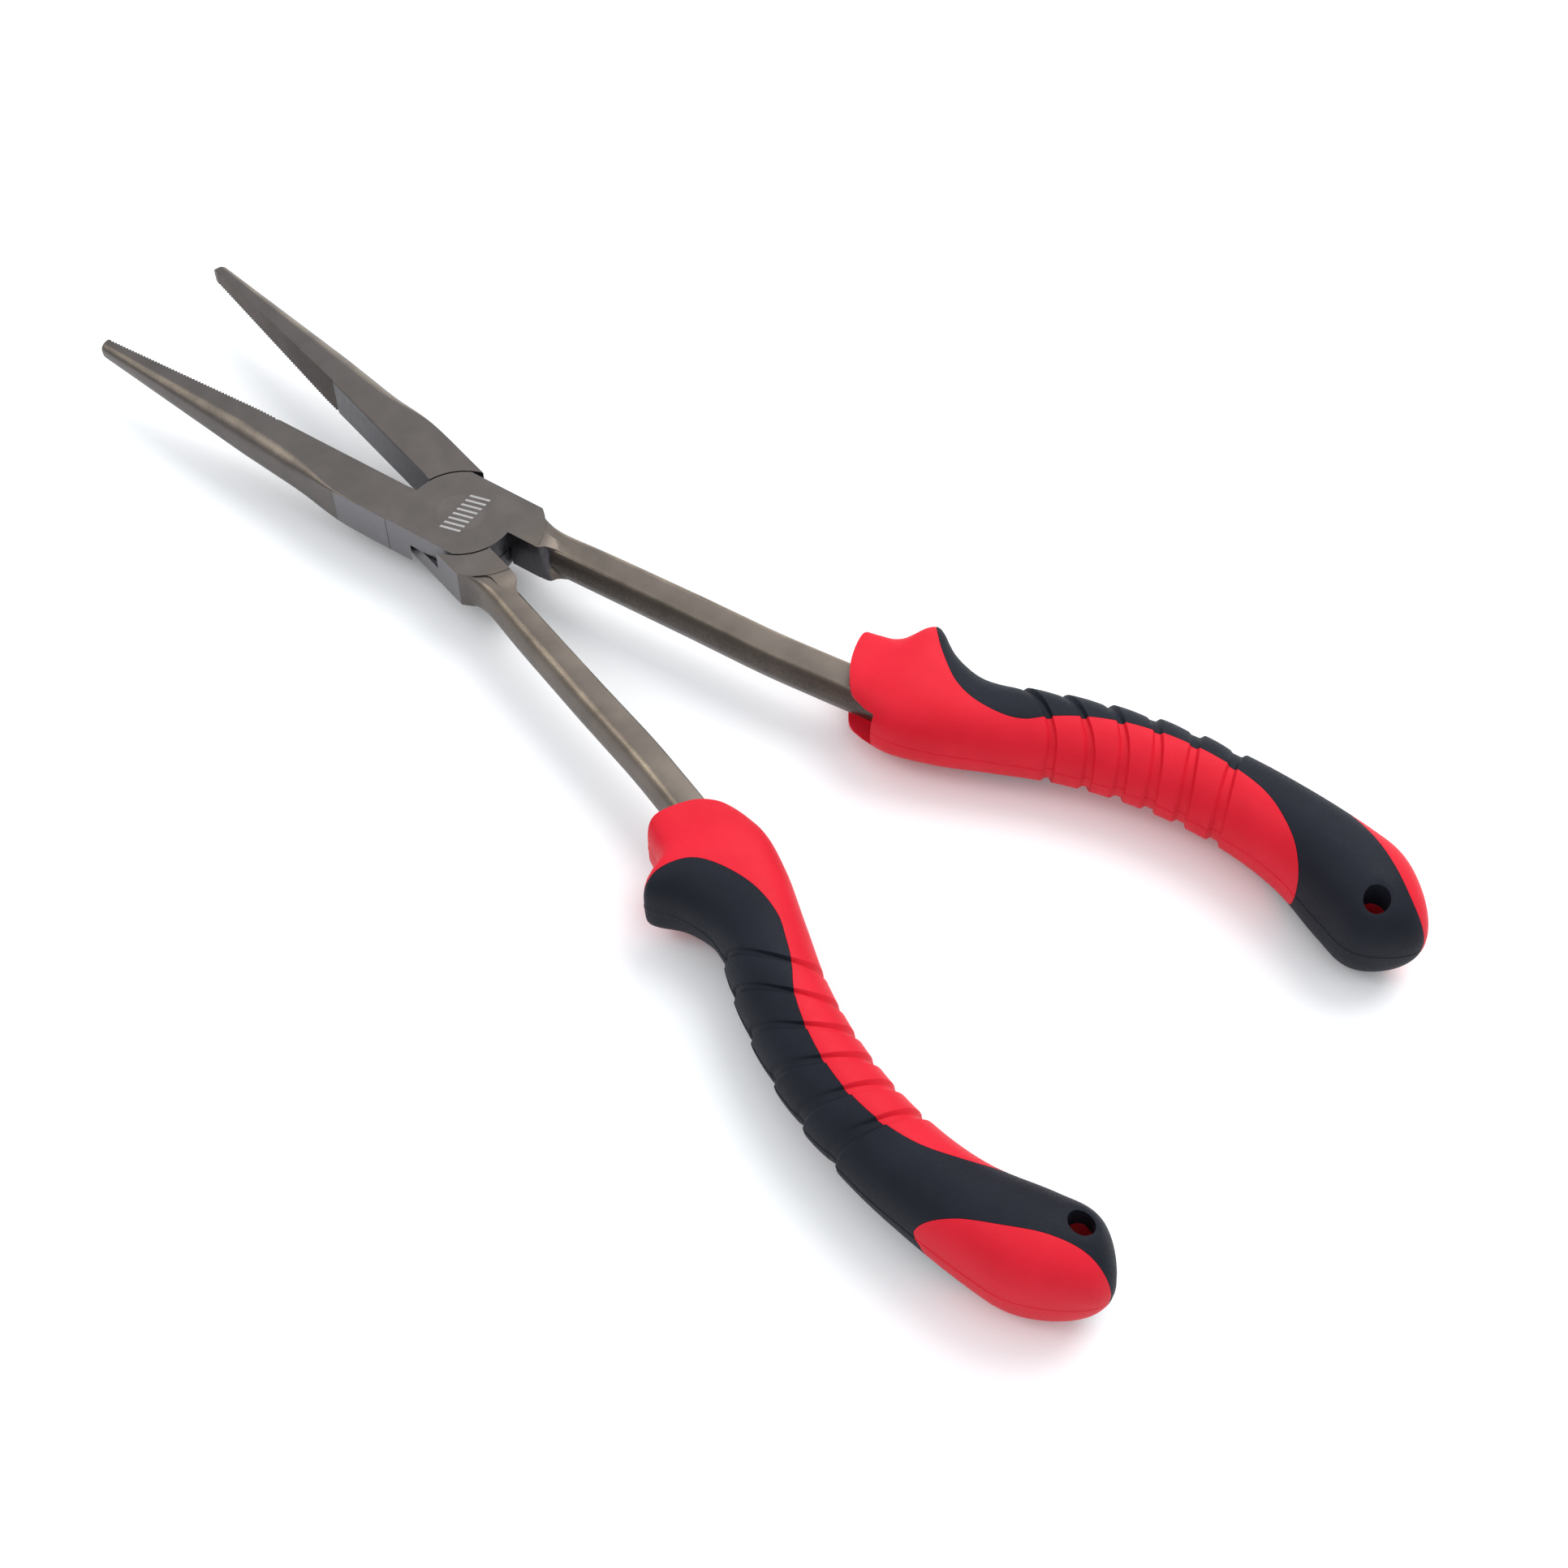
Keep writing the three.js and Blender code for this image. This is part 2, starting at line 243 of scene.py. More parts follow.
def bake_modifiers(solid):
    graph = bpy.context.evaluated_depsgraph_get()
    mesh = bpy.data.meshes.new_from_object(solid.evaluated_get(graph))
    solid.modifiers.clear()
    solid.data = mesh
    return solid


def smooth_by_angle(mesh, limit):
    """Smooth shading, broken at edges that turn more than limit degrees."""
    work = bmesh.new()
    work.from_mesh(mesh)
    bmesh.ops.remove_doubles(work, verts=work.verts, dist=MERGE)
    bmesh.ops.dissolve_degenerate(work, edges=work.edges, dist=MERGE)
    for face in work.faces:
        face.smooth = True
    for edge in work.edges:
        edge.smooth = len(edge.link_faces) == 2 and edge.calc_face_angle(0) < math.radians(limit)
    work.to_mesh(mesh)
    work.free()


# ---- Forged halves -------------------------------------------------------------------------------
def bar_section(x, inner, back, half, round_width, round_height, fall=0.0, crown=0.0, chamfer=0.18):
    """Section of a jaw or bar: a crisp inner edge, a faint mid-plane crown on the inner wall, a top
    that falls towards the inner edge, and an elliptical round on the back."""
    side = math.copysign(1, back - inner)
    angles = np.linspace(0, math.pi / 2, 11)
    upper = [(back - side * round_width * (1 - math.cos(a)), half - round_height * (1 - math.sin(a)))
             for a in angles]
    turn = back - side * round_width
    upper += [(turn + (inner - turn) * t, half - fall * t) for t in (0.06, 0.35, 0.7)]
    edge = half - fall
    upper += [(inner + side * chamfer, edge), (inner, edge - chamfer)]
    upper += [(inner - side * crown * 0.8, half * 0.25)]
    ring = [(y, -z) for y, z in upper[::-1]] + upper + [(inner - side * crown, 0)]
    return [(x, y, z) for y, z in ring]


def jaw_half(x):
    share = np.clip((-TAPER_START - x) / (JAW_TIP - TAPER_START), 0, 1)
    return JOINT_HALF + (TIP_HALF - JOINT_HALF) * share


def jaw_section(x, depth=0.0, drawn_in=0.0, chamfer=0.18):
    """Section of the jaw at x; depth is cut off its face and drawn_in off its back and height."""
    face = -FIT_GAP / 2 - depth
    back = -jaw_outer(x) + drawn_in
    return bar_section(x, face, back, jaw_half(x) - 0.6 * drawn_in, jaw_round(x),
                       min(jaw_round(x), 0.9 * jaw_half(x)), chamfer=chamfer)


def jaw():
    """The jaw from its blunt tip to the joint, with fine teeth across the front of its inner face."""
    rings = []
    for t in np.linspace(0, 1, 6)[:-1]:
        drawn_in = TIP_ROUND * (1 - math.sqrt(1 - (1 - t) ** 2))
        rings.append(jaw_section(-JAW_TIP + TIP_LENGTH * t, 0, drawn_in))
    teeth = int((JAW_TIP - TIP_LENGTH - TEETH_END) / TOOTH_PITCH)
    for i in range(teeth):
        for share, depth in ((0.0, 0.0), (0.6, TOOTH_DEPTH)):
            rings.append(jaw_section(-JAW_TIP + TIP_LENGTH + (i + share) * TOOTH_PITCH, depth, 0, 0.1))
    for x in np.linspace(-TEETH_END, -11, 40):
        rings.append(jaw_section(x))
    return loft("jaw", rings)


def head_outline():
    """The ground flat: round the joint, along the root's inner wall, and back along the ground arc."""
    back_end = math.sqrt(DISC_RADIUS**2 - JAW_BACK**2)
    flat_start = -math.sqrt(DISC_RADIUS**2 - HEAD_BACK**2)
    face = -FIT_GAP / 2
    first = math.asin((HEAD_INNER - GROUND_CENTRE[1]) / GROUND_RADIUS)
    last = math.asin((HEAD_BACK - GROUND_CENTRE[1]) / GROUND_RADIUS)
    front = arc(DISC_RADIUS, -math.atan2(JAW_BACK, back_end), math.asin(HEAD_INNER / DISC_RADIUS), 40)
    ground = arc(GROUND_RADIUS, first, last, 24, GROUND_CENTRE)
    rear = arc(DISC_RADIUS, math.atan2(HEAD_BACK, flat_start), math.pi - math.asin(face / DISC_RADIUS), 30)
    return [(-12, face), (-12, -JAW_BACK), *front, *ground, *rear]


def root():
    """The thick root of the handle beyond the ground flat, hollowed down to the bar."""
    step = smooth_curve([(ROOT_END - 0.8, HEAD_INNER), (ROOT_END, HEAD_INNER + 0.15), (ROOT_END + 0.9, 2.0),
                         (ROOT_END + 2.6, 2.75)], 6)

    def level(lean, z):
        inner = [(8, HEAD_INNER), *((x - lean, y) for x, y in step)]
        beyond = [(ROOT_END + 4.6, 3.2), (ROOT_END + 4.6, 4.3), (16.5, 4.8), (14, 6.3), (8, 6.3)]
        return [(x, y, z) for x, y in [*inner, *beyond]]

    solid = loft("root", [level(-ROOT_LAG, -JOINT_HALF + 0.01), level(0, -1),
                          level(ROOT_LEAN, JOINT_HALF - 0.01)])
    low = BAR_HALF - BAR_FALL
    hollow = [(GROUND_RADIUS + RUNOUT * t, JOINT_HALF - 0.1 - (JOINT_HALF - 0.1 - low) * smoothstep(t))
              for t in np.linspace(0, 1, 10)]
    upper = [(0.5, JOINT_HALF + 0.01), (GROUND_RADIUS - 0.01, JOINT_HALF + 0.01), *hollow,
             (GROUND_RADIUS + 6, low - 0.3)]
    ground = lathe("ground", [(r, -z) for r, z in upper] + upper[::-1], 144, GROUND_CENTRE)
    return cut(solid, ground, "INTERSECT")


def bar(grow=0.0, start=11.0):
    """The handle bar from the joint into the grip; grown, it is the bar's pocket in the grip."""
    rings = []
    for x in [*np.arange(start, 24, 0.4), *np.linspace(24, BAR_END + grow, 110)]:
        leave = smoothstep((x - 14) / 6)
        width = bar_round(x) + grow
        rings.append(bar_section(x, bar_inner(x) - grow, bar_outer(x) + grow, BAR_HALF + grow, width,
                                 min(BAR_ROUND_HEIGHT, 2 * width), BAR_FALL * leave, BAR_CROWN * leave, 0.42))
    return loft("bar", rings)


def rivet_solid(name, grow=0.0):
    half = JOINT_HALF + grow
    shoulder = JOINT_HALF - RIVET_HEAD_DEPTH
    outline = [(0.5, -half), (RIVET_HEAD_RADIUS + grow, -half), (RIVET_RADIUS + grow, -shoulder),
               (RIVET_RADIUS + grow, shoulder), (RIVET_HEAD_RADIUS + grow, half), (0.5, half)]
    return lathe(name, outline, 72)


def forged_half(name):
    solid = jaw()
    cut(solid, plate("head", head_outline(), -JOINT_HALF, JOINT_HALF), "UNION")
    cut(solid, root(), "UNION")
    cut(solid, bar(), "UNION")
    reach = DISC_RADIUS + FIT_GAP
    other_disc = lathe("other disc", [(0.5, -JOINT_HALF - 1), (reach, -JOINT_HALF - 1), (reach, FIT_GAP / 2),
                                      (0.5, FIT_GAP / 2)], 144)
    cut(solid, other_disc)
    cut(solid, rivet_solid("rivet hole", HAIRLINE / 2))
    solid.name = name
    break_edges(solid.data)
    return solid


def break_edges(mesh):
    """Breaks the crisp level edges of the ground head."""
    work = bmesh.new()
    work.from_mesh(mesh)
    bmesh.ops.remove_doubles(work, verts=work.verts, dist=MERGE)
    bmesh.ops.dissolve_limit(work, angle_limit=math.radians(0.5), verts=work.verts, edges=work.edges)

    def crisp(edge):
        if len(edge.link_faces) != 2 or edge.calc_face_angle_signed(0) < math.radians(60):
            return False
        on_head = all(-12 < v.co.x < 17 for v in edge.verts)
        return on_head and max(abs(v.co.z) for v in edge.verts) > JOINT_HALF - 0.3

    edges = [edge for edge in work.edges if crisp(edge)]
    bmesh.ops.bevel(work, geom=edges, offset=EDGE_BREAK, segments=2, affect="EDGES", clamp_overlap=True)
    work.to_mesh(mesh)
    work.free()


# ---- Grips ---------------------------------------------------------------------------------------
def groove_lines(shift):
    """Two edge lines for each groove, as (station, line). The line gives x at any y, and shift
    moves its end on the back of the grip."""
    made = []
    for back, seam, inner in GROOVES:
        middle = np.poly1d(np.polyfit([back[1], seam[1], inner[1]], [back[0] + shift, seam[0], inner[0]], 2))
        for side in (-1, 1):
            def line(y, middle=middle, side=side, seam=seam):
                spread = np.where(y > seam[1], 0.10 * (y - seam[1]), 0.05 * (seam[1] - y))
                return middle(y) + side * (GROOVE_WIDTH / 2 + spread)
            made.append((seam[0] + side * GROOVE_WIDTH / 2, line))
    return made


UPPER_LINES = groove_lines(UPPER_RIB_SHIFT)
LOWER_LINES = groove_lines(0)
STATIONS = [station for station, _ in LOWER_LINES]
PLAIN_BEFORE, PLAIN_AFTER = 97.0, 163.0        # outside these stations the rings stand square


def ring_x(station, y, lines):
    """Where the ring of a station crosses at y: between the grooves the rings lean as they do."""
    if not PLAIN_BEFORE < station < PLAIN_AFTER:
        return np.full_like(y, station)
    stations = [PLAIN_BEFORE, *STATIONS, PLAIN_AFTER]
    crossing = [np.full_like(y, PLAIN_BEFORE), *[line(y) for _, line in lines], np.full_like(y, PLAIN_AFTER)]
    after = np.searchsorted(stations, station)
    t = (station - stations[after - 1]) / (stations[after] - stations[after - 1])
    return crossing[after - 1] * (1 - t) + crossing[after] * t


def rib_drop(station, outward):
    """How deep the surface lies below the plain grip. The grooves are channels; outward is 1 on the
    back, where each rib also falls gently towards the next groove."""
    first = STATIONS[0] - FIRST_RIB
    if station <= first or station >= STATIONS[-1]:
        return np.zeros_like(outward)
    fallen = RIB_FALL * outward
    after = int(np.searchsorted(STATIONS, station, side="right"))
    if after % 2:
        f = (station - STATIONS[after - 1]) / GROOVE_WIDTH
        return GROOVE_DEPTH * (fallen + (1 - fallen) * smoothstep(f / 0.28)) * smoothstep((1 - f) / 0.25)
    start = STATIONS[after - 1] if after else first
    g = (station - start) / (STATIONS[after] - start)
    return GROOVE_DEPTH * fallen * g**1.8


def hole_drop(x, y):
    """The rim of the lanyard hole rolls in softly."""
    away = np.hypot(x - LANYARD[0], y - LANYARD[1]) - LANYARD_RADIUS
    return RIM_ROLL * np.clip(1 - away / RIM_WIDTH, 0, 1) ** 2


def grip_angles():
    """Ring angles, with a few more beside the mid-plane for the parting line."""
    plain = np.linspace(0, 2 * math.pi, 112, endpoint=False)
    beside = [base + side * offset for base in (0, math.pi) for side in (-1, 1) for offset in (0.008, 0.022)]
    return np.sort(np.concatenate([plain, np.mod(beside, 2 * math.pi)]))


def section(x, angles, inset):
    """Points (y, z) of the plain grip section at each x, and the outward direction in that plane."""
    over = np.clip((x - (GRIP_END - inset - END_ROUND)) / END_ROUND, 0, 1)
    close = np.maximum(np.sqrt(1 - over**2.2), 0.05)
    centre = (grip_outer(x) + grip_inner(x)) / 2
    width = np.maximum(0.4, (grip_outer(x) - grip_inner(x)) / 2 - inset) * close
    half = (grip_half(x) - inset) * close
    c, s = np.cos(angles), np.sin(angles)
    power = 2 / np.where(c > 0, grip_square(x), grip_inner_square(x))
    y = centre + width * np.sign(c) * np.abs(c) ** power
    z = half * np.sign(s) * np.abs(s) ** power
    normal = np.stack([np.sign(c) * np.abs(c) ** (2 - power) / width,
                       np.sign(s) * np.abs(s) ** (2 - power) / half])
    return y, z, normal / np.maximum(np.hypot(*normal), 1e-9)


def grip_ring(station, angles, inset, lines):
    x = np.full_like(angles, station)
    for _ in range(24 if lines else 0):
        y, z, normal = section(x, angles, inset)
        x = 0.5 * (x + ring_x(station, y, lines))
    y, z, normal = section(x, angles, inset)
    if lines:
        outward = smoothstep((np.cos(angles) + 0.1) / 0.65)
        parting = np.where(np.abs(np.sin(angles)) < 0.004, PARTING_RISE, 0.0)
        drop = rib_drop(station, outward) + hole_drop(x, y) - parting
        y = y - normal[0] * drop
        z = z - normal[1] * drop
    return np.stack([x, y, z], axis=1)


def grip_stations(front, inset, lines):
    """Stations along the grip, close together in the grooves and towards the rounded end."""
    last = GRIP_END - inset
    turn = last - END_ROUND
    rounded = turn + END_ROUND * np.sin(np.linspace(0, 1, 26 if lines else 10)[1:] * math.pi / 2)
    if not lines:
        return [*np.linspace(front, turn, 60), *rounded]
    made = list(np.arange(front, PLAIN_BEFORE, 0.45))
    made += list(np.linspace(PLAIN_BEFORE, STATIONS[0], 30, endpoint=False))
    for k, (start, end) in enumerate(zip(STATIONS, STATIONS[1:])):
        made += list(np.linspace(start, end, 12 if k % 2 == 0 else 11, endpoint=False))
    made += list(np.linspace(STATIONS[-1], PLAIN_AFTER, 22, endpoint=False))
    made += list(np.linspace(PLAIN_AFTER, turn, 34, endpoint=False))
    return [*made, turn, *rounded]


def grip_body(name, inset=0.0, front=GRIP_FRONT, lines=None):
    """The grip's outer form, ribbed along the groove lines, or plain without them."""
    angles = grip_angles() if lines else np.linspace(0, 2 * math.pi, 48, endpoint=False) + 0.02
    return loft(name, [grip_ring(s, angles, inset, lines) for s in grip_stations(front, inset, lines)])


def overmould_region(grow=0.0):
    """Plan region of the black overmould: over the back from the thumb stop to the ribs, then
    across to the inner side and round the end, leaving a red teardrop on the back of the end.
    On the top face its front edge runs further back, and the teardrop is slimmer, than underneath.
    Both change over close to the mid-plane."""
    shared = [(122, 19.3), (128, 21.9), (134.5, 23.6), (141, 24.3), (148.6, 23.8),
              (155.4, 22), (160.5, 19.1), (165.6, 14.8), (169.2, 9.2), (170, -4)]
    top = [(88.2, 30), (89, 24.8), (91.3, 21.4), (94.7, 17.9), (99.6, 13.9), (104.4, 12.2), (109.6, 12.3),
           (113.4, 13.5), (117, 16.2)]
    under = [(89.6, 30), (89.2, 24.8), (89.2, 21.3), (91.1, 16.3), (94.9, 13.5), (101.8, 11.5), (108.8, 11.9),
             (113, 13.7), (117, 15.8)]
    under_tear = [(196, 13.2), (190.4, 13.4), (185.6, 14.4), (180, 17.4), (173.8, 21.8), (167.8, 26),
                  (162.5, 31), (160, 36)]
    top_tear = [(196, 13.3), (190.5, 13.7), (186.2, 15.2), (181.2, 18.5), (175.3, 22.8), (169.2, 26.7),
                (163, 31.3), (160.4, 36)]

    def shifted(curve):
        along = np.gradient(curve, axis=0)
        along /= np.linalg.norm(along, axis=1)[:, None]
        return [(x + ay * grow, y - ax * grow) for (x, y), (ax, ay) in zip(curve, along)]

    def level(front, tear, z):
        across = smooth_curve([*front, *shared], 8)
        outline = [*shifted(across), (196, -4), *shifted(smooth_curve(tear, 8)), (160, 40), (86, 40)]
        return [(x, y, z) for x, y in outline]

    change = 1.5
    return loft("region", [level(under, under_tear, -PAST_GRIP), level(under, under_tear, -change),
                           level(top, top_tear, change), level(top, top_tear, PAST_GRIP)])


def mouth_cutter():
    """What is cut off in front of the grip's slanted, round-cornered mouth."""
    lip = smooth_curve([(NOTCH_END, 1.4), (GRIP_FRONT + 8.9, 2.4), (GRIP_FRONT + 6.3, 3.4),
                        (GRIP_FRONT + 4.5, 5.3), (GRIP_FRONT + 2.7, 8.5), (GRIP_FRONT + 1.4, 12.9),
                        (GRIP_FRONT + 1.2, 15.6), (GRIP_FRONT + 1.9, 17.3), (GRIP_FRONT + 4, 20)], 8)
    outline = [(GRIP_FRONT - 6, -6), (NOTCH_END, -6), *lip, (GRIP_FRONT - 6, 22)]
    return plate("mouth", outline, -PAST_GRIP, PAST_GRIP)


def lanyard_cutter():
    return plate("hole", circle(LANYARD_RADIUS, LANYARD), -PAST_GRIP, PAST_GRIP)


def sleeves(grow=0.0):
    """The overmould lines the lanyard hole with a sleeve inward from each face."""
    outline = circle(LANYARD_RADIUS + SLEEVE + grow, LANYARD)
    spans = ((SLEEVE_END - grow, PAST_GRIP), (-PAST_GRIP, -SLEEVE_END + grow))
    made = [plate("sleeve", outline, bottom, top) for bottom, top in spans]
    return [cut(sleeve, grip_body("inner", SKIN / 2), "INTERSECT") for sleeve in made]


def overmould(name, lines):
    solid = grip_body(name, lines=lines)
    cut(solid, overmould_region(), "INTERSECT")
    cut(solid, grip_body("inner", SKIN))
    for sleeve in sleeves():
        cut(solid, sleeve, "UNION")
    return cut(solid, lanyard_cutter())


def grip_core(name, lines):
    room = grip_body("room", -1.5, GRIP_FRONT - 1)
    cut(room, grip_body("inner", SKIN + HAIRLINE))
    cut(room, overmould_region(HAIRLINE), "INTERSECT")
    solid = grip_body(name, lines=lines)
    cut(solid, room)
    for sleeve in sleeves(HAIRLINE):
        cut(solid, sleeve)
    cut(solid, bar(0.12, GRIP_FRONT - 8))
    notch_half = BAR_HALF + 0.5
    notch = [(GRIP_FRONT - 2, -3.3), (NOTCH_END - 1.5, -3.3), (NOTCH_END, -1.5), (NOTCH_END, 5.7),
             (GRIP_FRONT - 2, 5.7)]
    cut(solid, plate("notch", notch, -notch_half, notch_half))
    cut(solid, mouth_cutter())
    return cut(solid, lanyard_cutter())


# ---- Placing and finishing -----------------------------------------------------------------------
def in_frame(lower):
    """From the closed half's millimetres to the frame at rest."""
    turn = Matrix.Rotation(math.radians(-HALF_OPENING if lower else HALF_OPENING), 4, "Z")
    over = Matrix.Rotation(math.pi, 4, "X") if lower else Matrix.Identity(4)
    return Matrix.Translation(PIVOT) @ turn @ over @ Matrix.Scale(MM, 4)


def paint(piece, *materials):
    piece.data.materials.clear()
    for material in materials:
        piece.data.materials.append(material)
    for face in piece.data.polygons:
        face.material_index = 0


def finish_piece(piece, node, body, lower, crisp=32):
    smooth_by_angle(piece.data, crisp)
    piece.data.transform(in_frame(lower))
    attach(piece, body)
    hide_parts(node)


# ---- Materials -----------------------------------------------------------------------------------
class Shader:
    """A Principled material and short ways to add its nodes."""

    def __init__(self, name, roughness, metallic=0.0):
        self.material = bpy.data.materials.new(name)
        self.material.use_nodes = True
        self.tree = self.material.node_tree
        self.surface = self.tree.nodes["Principled BSDF"]
        self.surface.inputs["Roughness"].default_value = roughness
        self.surface.inputs["Metallic"].default_value = metallic
        self.place = self.tree.nodes.new("ShaderNodeTexCoord").outputs["Object"]

    def node(self, kind, **values):
        made = self.tree.nodes.new(kind)
        for name, value in values.items():
            setattr(made, name, value)
        return made

    def link(self, source, target):
        self.tree.links.new(source, target)

    def noise(self, size, detail=2.0, stretch=(1, 1, 1)):
        """Noise whose grains are about size metres across, stretched along each axis."""
        place = self.node("ShaderNodeMapping")
        place.inputs["Scale"].default_value = [1 / s for s in stretch]
        self.link(self.place, place.inputs["Vector"])
        noise = self.node("ShaderNodeTexNoise")
        noise.inputs["Scale"].default_value = 1 / size
        noise.inputs["Detail"].default_value = detail
        self.link(place.outputs["Vector"], noise.inputs["Vector"])
        return noise.outputs["Fac"]

    def ramp(self, factor, stops):
        made = self.node("ShaderNodeValToRGB")
        elements = made.color_ramp.elements
        while len(elements) < len(stops):
            elements.new(0.5)
        for element, (place, colour) in zip(elements, stops):
            element.position = place
            element.color = (*colour, 1)
        self.link(factor, made.inputs["Fac"])
        return made.outputs["Color"]

    def mix(self, factor, first, second):
        made = self.node("ShaderNodeMix", data_type="RGBA")
        self.link(factor, made.inputs["Factor"])
        self.link(first, made.inputs["A"])
        self.link(second, made.inputs["B"])
        return made.outputs["Result"]

    def spread(self, factor, low, high):
        """A noise, which mostly lies between 0.3 and 0.7, made to run from low to high."""
        made = self.node("ShaderNodeMapRange")
        made.inputs["To Min"].default_value = low
        made.inputs["To Max"].default_value = high
        made.inputs["From Min"].default_value = 0.3
        made.inputs["From Max"].default_value = 0.7
        self.link(factor, made.inputs["Value"])
        return made.outputs["Result"]

    def bump(self, height, depth, strength=1.0):
        made = self.node("ShaderNodeBump")
        made.inputs["Strength"].default_value = strength
        made.inputs["Distance"].default_value = depth
        self.link(height, made.inputs["Height"])
        self.link(made.outputs["Normal"], self.surface.inputs["Normal"])


def forged_steel():
    """Tumbled dark steel: brown-grey and finely pitted, browner on the bars, with a painted
    highlight of bright speckled bronze along the round edges."""
    shader = Shader("forged_steel", 0.4, 1.0)
    cloud = shader.noise(0.006, 9)
    plain = shader.ramp(cloud, [(0.3, (0.112, 0.100, 0.094)), (0.7, (0.138, 0.122, 0.115))])
    brown = shader.ramp(cloud, [(0.3, (0.124, 0.106, 0.092)), (0.7, (0.160, 0.136, 0.118))])
    # Painted highlight: bright bronze colour mixed onto the round edges, where a lamp's reflection would
    # fall.
    painted_highlight = shader.ramp(cloud, [(0.3, (0.40, 0.32, 0.23)), (0.7, (0.54, 0.44, 0.32))])
    tumbled = shader.node("ShaderNodeAttribute", attribute_name="tumbled")
    edge_highlight = shader.node("ShaderNodeAttribute", attribute_name="edge_highlight")
    grain = shader.noise(0.00022, 3)
    speckle = shader.node("ShaderNodeMath", operation="MULTIPLY")
    shader.link(shader.spread(cloud, 0.45, 1.0), speckle.inputs[0])
    shader.link(shader.spread(grain, 0.3, 1.0), speckle.inputs[1])
    highlight_amount = shader.node("ShaderNodeMath", operation="MULTIPLY")
    shader.link(edge_highlight.outputs["Fac"], highlight_amount.inputs[0])
    shader.link(speckle.outputs["Value"], highlight_amount.inputs[1])
    oxide = shader.node("ShaderNodeAttribute", attribute_name="oxide")
    blotches = shader.node("ShaderNodeMath", operation="MULTIPLY")
    shader.link(oxide.outputs["Fac"], blotches.inputs[0])
    shader.link(shader.spread(shader.noise(0.0006, 6), 0.4, 1.0), blotches.inputs[1])
    scale = shader.ramp(cloud, [(0.3, (0.040, 0.034, 0.030)), (0.7, (0.060, 0.052, 0.046))])
    base = shader.mix(tumbled.outputs["Fac"], plain, brown)
    base = shader.mix(blotches.outputs["Value"], base, scale)
    shader.link(shader.mix(highlight_amount.outputs["Value"], base, painted_highlight), shader.surface.inputs["Base Color"])
    shader.link(shader.spread(grain, 0.34, 0.52), shader.surface.inputs["Roughness"])
    shader.bump(grain, 0.00003, 0.5)
    return shader.material


def ground_steel():
    """The ground inner faces: darker, violet-grey, with fine marks across them."""
    shader = Shader("ground_steel", 0.36, 1.0)
    marks = shader.noise(0.00025, 3, (1, 10, 10))
    shader.link(shader.ramp(marks, [(0.3, (0.074, 0.071, 0.079)), (0.7, (0.116, 0.111, 0.122))]),
                shader.surface.inputs["Base Color"])
    shader.link(shader.spread(marks, 0.3, 0.46), shader.surface.inputs["Roughness"])
    shader.bump(marks, 0.00001, 0.4)
    return shader.material


def milled_steel():
    """The upright sides of the head and the back of the jaws' roots: paler, cleanly milled."""
    shader = Shader("milled_steel", 0.4, 1.0)
    marks = shader.noise(0.00025, 3, (8, 8, 1))
    shader.link(shader.ramp(marks, [(0.3, (0.150, 0.145, 0.152)), (0.7, (0.200, 0.195, 0.204))]),
                shader.surface.inputs["Base Color"])
    shader.link(shader.spread(marks, 0.34, 0.5), shader.surface.inputs["Roughness"])
    shader.bump(marks, 0.00001, 0.4)
    return shader.material


def rivet_steel():
    """The rivet's faces, ground flush with the joint and turned very finely."""
    shader = Shader("rivet_steel", 0.4, 1.0)
    cloud = shader.noise(0.006, 4)
    shader.link(shader.ramp(cloud, [(0.3, (0.122, 0.108, 0.101)), (0.7, (0.150, 0.132, 0.124))]),
                shader.surface.inputs["Base Color"])
    grain = shader.noise(0.0002, 3)
    shader.link(shader.spread(grain, 0.34, 0.52), shader.surface.inputs["Roughness"])
    shader.bump(grain, 0.00003, 0.5)
    return shader.material


def red_plastic():
    """Matte red moulding with a fine spark-eroded grain."""
    shader = Shader("red_grip", 0.52)
    cloud = shader.noise(0.008, 3)
    shader.link(shader.ramp(cloud, [(0.25, (0.590, 0.0100, 0.024)), (0.75, (0.650, 0.0135, 0.031))]),
                shader.surface.inputs["Base Color"])
    shader.surface.inputs["Specular IOR Level"].default_value = 0.13
    grain = shader.noise(0.00028, 2)
    shader.link(shader.spread(grain, 0.44, 0.62), shader.surface.inputs["Roughness"])
    shader.bump(grain, 0.00004, 0.45)
    return shader.material


def black_rubber():
    """Soft blue-black overmould with a fine matte grain."""
    shader = Shader("black_grip", 0.6)
    cloud = shader.noise(0.010, 3)
    shader.link(shader.ramp(cloud, [(0.25, (0.0085, 0.010, 0.016)), (0.75, (0.012, 0.0145, 0.022))]),
                shader.surface.inputs["Base Color"])
    shader.surface.inputs["Specular IOR Level"].default_value = 0.12
    grain = shader.noise(0.0003, 2)
    shader.link(shader.spread(grain, 0.5, 0.68), shader.surface.inputs["Roughness"])
    shader.bump(grain, 0.00003, 0.35)
    return shader.material


def etched_mark():
    """Pale laser etching."""
    shader = Shader("etched_mark", 0.6, 0.6)
    grain = shader.noise(0.00015, 2)
    shader.link(shader.ramp(grain, [(0.3, (0.30, 0.29, 0.29)), (0.7, (0.42, 0.41, 0.41))]),
                shader.surface.inputs["Base Color"])
    shader.bump(grain, 0.00001, 0.3)
    return shader.material


def floor_paper():
    shader = Shader("floor_paper", 0.9)
    cloud = shader.noise(0.12, 2)
    shader.link(shader.ramp(cloud, [(0.3, (0.925, 0.93, 0.94)), (0.7, (0.94, 0.945, 0.955))]),
                shader.surface.inputs["Base Color"])
    return shader.material


